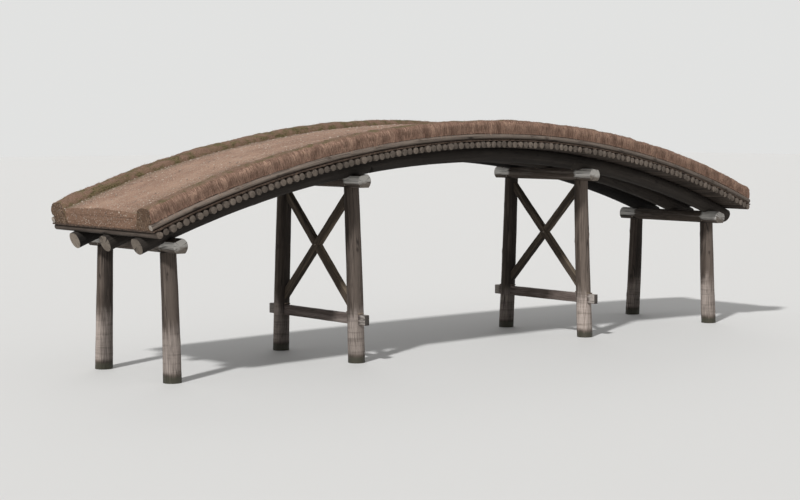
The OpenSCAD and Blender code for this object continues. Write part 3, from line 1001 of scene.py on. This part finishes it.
def add_earth():
    """The path between the shoulders: crowned, with two worn tracks."""
    gap = SEAT / math.cos(math.atan(TURF_SLOPE))
    edge = turf_face_y(EARTH_EDGE) - gap
    foot = turf_face_y(0) - gap
    rise = EARTH_CROWN - EARTH_EDGE
    tops = [(EARTH_EDGE + rise * (1 - (t / 10) ** 2), edge * t / 10) for t in range(-10, 11)]
    bm = swept(even_outline([(SEAT, foot), (SEAT, -foot)] + tops, spacing=0.045), cuts=6)
    crumble_ends(bm, EARTH_CROWN, EARTH_SLIP)
    for v in bm.verts:
        out = Vector((v.co.x, 0, v.co.z - ARCH_Z))
        free = clamped((out.length - BARK_RADIUS - EARTH_EDGE + 0.03) / 0.03)
        worn = TRACK_DEPTH * math.exp(-((abs(v.co.y) - TRACK_Y) / TRACK_WIDTH) ** 2)
        v.co += out.normalized() * (ruffle(v.co, PATH_RELIEF) - 0.006 - worn) * free
    surface = BVHTree.FromBMesh(bm)
    finish_piece("earth_top", bm, [EARTH_SKIN, EARTH_CUT], ["earth_path"], 60)
    return surface


def add_bark():
    """The bark sheet on the deck logs, with frayed edges."""
    low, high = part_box("bark_bed")
    thickness = bark_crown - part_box("deck_logs_crown")[1].z
    outline = [(0, low.y), (0, high.y), (-thickness, high.y), (-thickness, low.y)]
    bm = swept(even_outline(outline, spacing=0.05), cuts=6)
    for v in bm.verts:
        if abs(v.co.y) > high.y - 0.06:
            v.co.y += math.copysign(ruffle(v.co, BARK_FRAY) - 0.004, v.co.y)
    finish_piece("bark_sheets", bm, [BARK_SKIN, BARK_SKIN], ["bark_bed"], 40)


TURF_SURFACE = {side: add_turf(side) for side in SIDES}
EARTH_SURFACE = add_earth()
add_bark()


# Dry fibres, grass and gravel

# How many strands a side has, and their least and most length and width
FIBRES_A_SIDE, FIBRE_LENGTH, FIBRE_WIDTH = 6500, (0.045, 0.105), (0.002, 0.0055)
BLADES_A_SIDE, BLADE_LENGTH, BLADE_WIDTH = 5500, (0.01, 0.028), (0.0022, 0.005)
STRAND_STEPS = 3
SHARES = [step / STRAND_STEPS for step in range(STRAND_STEPS + 1)]
# How many pebbles there are and are made at a time, their least radius, and what chance adds at most
PEBBLES, PEBBLE_BATCH = 3900, 65
PEBBLE_R, PEBBLE_MORE = 0.0035, 0.0105


def add_strands(name, count, seed, grow):
    """Many tapering strands in one piece. grow() gives one's points, the way across it, width and tone."""
    bm, layers = new_mesh()
    columns = 2 * count - 1  # A strand is every other column of one long grid
    bmesh.ops.create_grid(bm, x_segments=columns, y_segments=STRAND_STEPS, size=1)
    between = [f for f in bm.faces if int((f.calc_center_median().x + 1) / 2 * columns) % 2]
    bmesh.ops.delete(bm, geom=between, context="FACES")
    chance = random.Random(seed)
    strands = [grow(chance) for _ in range(count)]
    for v in bm.verts:
        column = round((v.co.x + 1) / 2 * columns)
        step = round((v.co.y + 1) / 2 * STRAND_STEPS)
        points, across, width, tone = strands[column // 2]
        narrow = 1 - 0.85 * SHARES[step]
        v.co = points[step] + across * width * narrow * (column % 2 - 0.5)
        v[layers["tone"]] = tone
    finish_piece(name, bm, [BLADE_SKIN], (), 60)


def fibre(chance, side):
    """A dry rootlet that hangs down the outer face of the turf and over the top of the pole."""
    facing = SIDES[side]
    angle = chance.uniform(-1, 1) * (COVER_ANGLE - TURF_SLIP * 1.4 / BARK_RADIUS)
    top = TURF_HEIGHT - 0.012 - 0.12 * chance.random() ** 1.3
    length = chance.uniform(*FIBRE_LENGTH)
    lift = chance.uniform(0.002, 0.009)
    drift = chance.gauss(0, 0.006) / BARK_RADIUS
    points = []
    for share in SHARES:
        height = max(top - length * share, POLE_D * 0.45)
        turn = angle + drift * share
        start = on_arch(turn, BARK_RADIUS + height, facing * (TURF_OUTER_Y + 0.1))
        hit = TURF_SURFACE[side].ray_cast(start, Vector((0, -facing, 0)))[0]
        y = abs(hit.y) if hit else POLE_Y
        rise = height - POLE_D / 2
        if abs(rise) < POLE_D / 2:
            y = max(y, POLE_Y + 1.04 * math.sqrt(POLE_D ** 2 / 4 - rise ** 2))
        points.append(on_arch(turn, BARK_RADIUS + height, facing * (y + lift * (0.4 + share))))
    clump = noise(Vector((angle * BARK_RADIUS * 9, top * 6, facing * 7)))
    tone = clamped(0.36 + 1.3 * (top - POLE_D) + clump * 0.6 + chance.gauss(0, 0.16))
    return points, Vector((math.cos(angle), 0, -math.sin(angle))), chance.uniform(*FIBRE_WIDTH), tone


def blade(chance, side):
    """A short dry blade of grass or moss on top of the turf."""
    facing = SIDES[side]
    while True:
        angle = chance.uniform(-COVER_ANGLE, COVER_ANGLE)
        y = TURF_OUTER_Y - 0.004 - (TURF_WIDTH + 0.03) * chance.random() ** 0.75
        start = on_arch(angle, BARK_RADIUS + TURF_HEIGHT + 0.1, facing * y)
        root, normal = TURF_SURFACE[side].ray_cast(start, inwards(start))[:2]
        if root and noise(start * 2.3) + chance.gauss(0, 0.25) > -0.12:
            break
    length = chance.uniform(*BLADE_LENGTH)
    lean = Vector((chance.gauss(0, 0.5), chance.gauss(0, 0.5) + 0.25 * facing, chance.gauss(0, 0.2)))
    way = (normal + lean * 0.7).normalized()
    points = [root - normal * 0.002 + (way + lean * share * 0.5) * length * share for share in SHARES]
    tone = clamped(0.5 + 0.8 * noise(start * 6) + chance.gauss(0, 0.2))
    return points, way.orthogonal().normalized(), chance.uniform(*BLADE_WIDTH), tone


def add_pebbles(seed):
    """Small gravel trodden into the path, which gathers along the turf."""
    chance = random.Random(seed)
    batches = []
    edge = turf_face_y(EARTH_EDGE)
    for _ in range(PEBBLES // PEBBLE_BATCH):
        bm, layers = new_mesh()
        for _ in range(PEBBLE_BATCH):
            angle = chance.uniform(-0.995, 0.995) * COVER_ANGLE
            y = (edge - 0.012) * (1 - chance.random() ** 1.6) * chance.choice((-1, 1))
            start = on_arch(angle, BARK_RADIUS + EARTH_CROWN + 0.1, y)
            root, normal = EARTH_SURFACE.ray_cast(start, inwards(start))[:2]
            size = PEBBLE_R + PEBBLE_MORE * chance.random() ** 2.2
            pebble = bmesh.ops.create_icosphere(bm, subdivisions=1, radius=size)["verts"]
            turn = Matrix.Rotation(chance.uniform(0, math.tau), 3, "Z")
            lay = normal.to_track_quat("Z", "Y").to_matrix() @ turn
            stretch = Vector((chance.uniform(0.8, 1.35), chance.uniform(0.7, 1.0), chance.uniform(0.4, 0.75)))
            tone = chance.random()
            for v in pebble:
                rough = 1 + 0.2 * noise(v.co * 90 + start)
                v.co = root + normal * size * 0.1 + lay @ (v.co * stretch * rough)
                v[layers["tone"]] = tone
        batches.append(bm)
    finish_piece("pebbles", joined(batches), [PEBBLE_SKIN], (), 40)


for s, side in enumerate(SIDES):
    add_strands(f"fibres_{side}", FIBRES_A_SIDE, 300 + s, lambda chance: fibre(chance, side))
    add_strands(f"blades_{side}", BLADES_A_SIDE, 310 + s, lambda chance: blade(chance, side))
add_pebbles(500)


# Edge poles

POLE_SIDES, POLE_RING = 18, 0.042
POLE_TAPER = 0.93
POLE_BUTT = 0.0015


def add_edge_pole(seed, side, joints):
    """The poles along one edge, end to end, with their joints at shares of the whole length."""
    node = f"{side}_edge_pole"
    middle_r = BARK_RADIUS + SEAT + POLE_D / 2
    whole = 2 * COVER_ANGLE * middle_r
    marks = [0, *joints, 1]
    butt, tip = POLE_D / 2, POLE_D / 2 * POLE_TAPER
    parts = []
    for i, (start, stop) in enumerate(zip(marks, marks[1:])):
        first = start * whole + (POLE_BUTT if start else 0)
        last = stop * whole - (POLE_BUTT if stop < 1 else 0)
        length = last - first
        ends_r = (butt, tip) if (i + seed) % 2 else (tip, butt)
        log = Log(seed * 10 + i, length, *ends_r, POLE_SIDES, round(length / POLE_RING), lump=0.06, knots=8)

        def bend(p, first=first):
            angle = (first + p.z) / middle_r - COVER_ANGLE
            return on_arch(angle, middle_r + p.x, SIDES[side] * POLE_Y + p.y)

        parts.append(log.made(bend))
    finish_piece(f"pole_{side}", joined(parts), [POLE_SKIN, POLE_END], [node])


add_edge_pole(90, "near", joints=(0.31, 0.72))
add_edge_pole(91, "far", joints=(0.37, 0.66))


# Pegs that hold the joints

PEG_R, PEG_TAPER = 0.01, 0.92
PEG_PROUD = 0.006
PEG_SIDES, PEG_RINGS = 10, 3


def peg(seed, start, stop):
    """A cleft peg from one point to another, with its ends a little proud."""
    way = (stop - start).normalized()
    wide = way.orthogonal().normalized()
    deep = way.cross(wide)
    length = (stop - start).length + 2 * PEG_PROUD
    log = Log(seed, length, PEG_R, PEG_R * PEG_TAPER, PEG_SIDES, PEG_RINGS, lump=0.12, rim=0.002)
    return log.made(lambda p: start - way * PEG_PROUD + wide * p.x + deep * p.y + way * p.z)


def crossing_height(node):
    """The height at which a brace crosses the other one: that of its notch."""
    low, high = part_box(node)
    notch = [p.z for p in points_of(node) if abs(p.x - (low.x + high.x) / 2) < 0.002]
    return (min(notch) + max(notch)) / 2


def add_pegs():
    """Pegs through the post heads' tenons, the braces' crossings and the girders' laps."""
    pegs = []
    for end in ENDS:
        for bent in BENTS:
            low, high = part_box(f"{end}_{bent}_cap_beam")
            for side in SIDES:
                post = f"{end}_{bent}_{side}_post"
                y = slice_of(post, low.z)[0].y
                z = (low.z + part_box(post)[1].z) / 2
                pegs.append(peg(400 + len(pegs), Vector((low.x, y, z)), Vector((high.x, y, z))))
        brace = f"{end}_brace_to_near_head"
        low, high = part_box(brace)
        z = crossing_height(brace)
        pegs.append(peg(440 + len(pegs), Vector((low.x, 0, z)), Vector((high.x, 0, z))))
        for line in LINES:
            low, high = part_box(f"{line}_girder_crown")
            y = (low.y + high.y) / 2
            for share in (0.12, 0.88):
                angle = ENDS[end] * (LAP_INNER + (LAP_OUTER - LAP_INNER) * share)
                top = on_arch(angle, GIRDER_TOP_R - 0.02, y)
                pegs.append(peg(470 + len(pegs), top, on_arch(angle, GIRDER_LOW_R, y)))
    finish_piece("pegs", joined(pegs), [WEDGE_SKIN, POLE_END], ())


add_pegs()


# Floor, light and camera

EYE = Vector((-15.7, -17.85, 3.0))
AIM = Vector((-0.38, 0.34, 1.27))
LENS = 79.0
FAR_CLIP = 500
FLOOR_SIZE = 120
FLOOR = (0.62, 0.615, 0.6, 1.0)
BACKDROP = (0.757, 0.761, 0.753, 1.0)
SKY, SKY_LIGHT = (0.96, 0.96, 0.97, 1.0), 0.4

# Each sun lamp: its strength, the way it shines, and how wide it looks in degrees
SUNS = {"sun": (3.3, (0.8, 0.36, -0.76), 4), "fill": (0.45, (-0.55, -0.75, -0.45), 40)}


def add_floor():
    bm = bmesh.new()
    bmesh.ops.create_grid(bm, x_segments=1, y_segments=1, size=FLOOR_SIZE)
    m = Finish("floor_pale")
    shader = m.node("BsdfPrincipled", inputs={"Base Color": FLOOR, "Roughness": 0.9})
    m.node("OutputMaterial", inputs={"Surface": shader})
    floor = placed("floor", as_mesh("floor", bm))
    floor.data.materials.append(m.made)


def add_sun(name, energy, towards, width):
    lamp = bpy.data.lights.new(name, "SUN")
    lamp.energy = energy
    lamp.angle = math.radians(width)
    placed(name, lamp).rotation_euler = Vector(towards).to_track_quat("-Z", "Y").to_euler()


def add_world():
    """Soft light from all round, and a plain backdrop for the camera and for gloss and glass."""
    m = Finish("studio", bpy.data.worlds)
    sky = m.node("Background", inputs={"Color": SKY, "Strength": SKY_LIGHT})
    backdrop = m.node("Background", inputs={"Color": BACKDROP})
    seen = m.node("LightPath", output="Is Camera Ray")
    for ray in ("Glossy", "Transmission"):
        seen = seen.math("MAXIMUM", m.node("LightPath", output=f"Is {ray} Ray"))
    m.node("OutputWorld", inputs={"Surface": m.node("MixShader", inputs={0: seen, 1: sky, 2: backdrop})})
    bpy.context.scene.world = m.made


def add_camera():
    lens = bpy.data.cameras.new("camera")
    lens.lens = LENS
    lens.clip_end = FAR_CLIP
    camera = placed("camera", lens)
    camera.location = EYE
    camera.rotation_euler = (AIM - EYE).to_track_quat("-Z", "Y").to_euler()
    bpy.context.scene.camera = camera


add_floor()
for name, settings in SUNS.items():
    add_sun(name, *settings)
add_world()
add_camera()
bpy.context.scene.view_settings.view_transform = "Standard"

bpy.context.view_layer.update()
